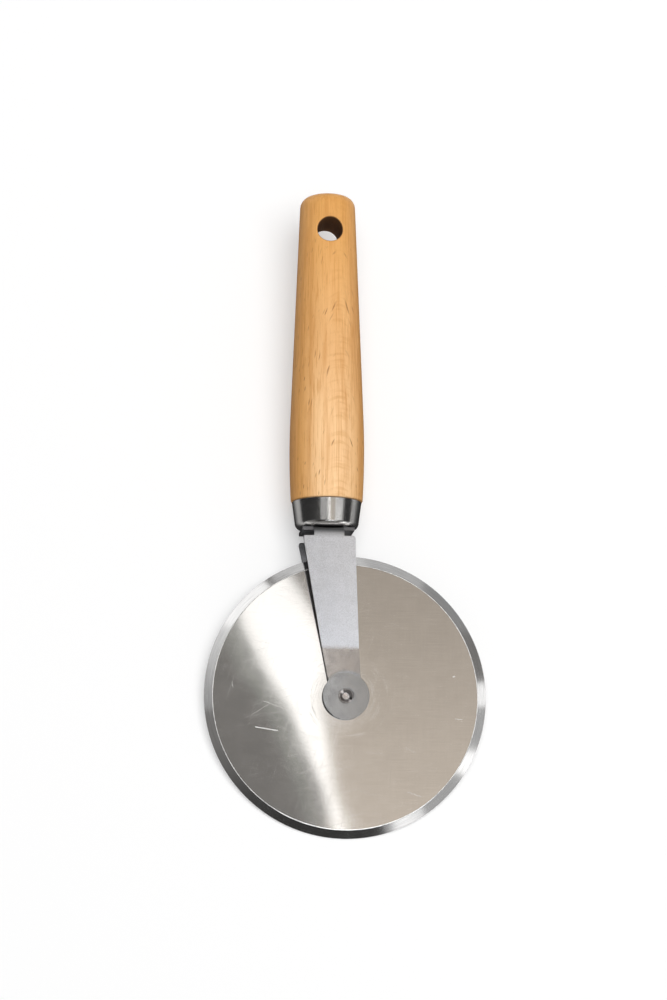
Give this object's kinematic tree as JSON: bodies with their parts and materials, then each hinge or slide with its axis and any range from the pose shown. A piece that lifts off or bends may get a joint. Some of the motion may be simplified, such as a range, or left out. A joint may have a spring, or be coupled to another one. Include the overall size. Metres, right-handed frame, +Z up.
{
  "type": "pizza cutter",
  "caption": "Pizza cutter: a turned beech handle with a steel ferrule and a folded steel fork that carries a free-turning ground cutting wheel.",
  "frame": {"origin": "on the surface the tool lies on, under the middle of its outline", "axes": "+Y towards the handle's butt, +X to the right seen from the front, +Z up; the tool lies on its handle's neck and the wheel's far edge, so its own axis is tipped about 6 degrees"},
  "size_m": [0.1, 0.2312, 0.0339],
  "materials": {
    "beech": "oiled, fine grain with short dark flecks",
    "polished_steel": "polished",
    "satin_steel": "tumbled satin",
    "brushed_steel": "brushed flat faces, ground bevel",
    "rivet_steel": "plain drawn"
  },
  "bodies": {
    "holder": {"handle": "beech", "ferrule": "polished_steel", "fork": "satin_steel", "tang_screw": "rivet_steel", "axle_rivet": "rivet_steel", "axle_bush": "rivet_steel", "front_washer": "rivet_steel", "rear_washer": "rivet_steel"},
    "wheel": {"cutting_wheel": "brushed_steel"}
  },
  "joints": [
    {"name": "wheel_spin", "type": "hinge", "parent": "holder", "child": "wheel", "pos_m": [0, -0.06589, 0.00545], "axis": [0, -0.1044, 0.9945], "continuous": true}
  ]
}
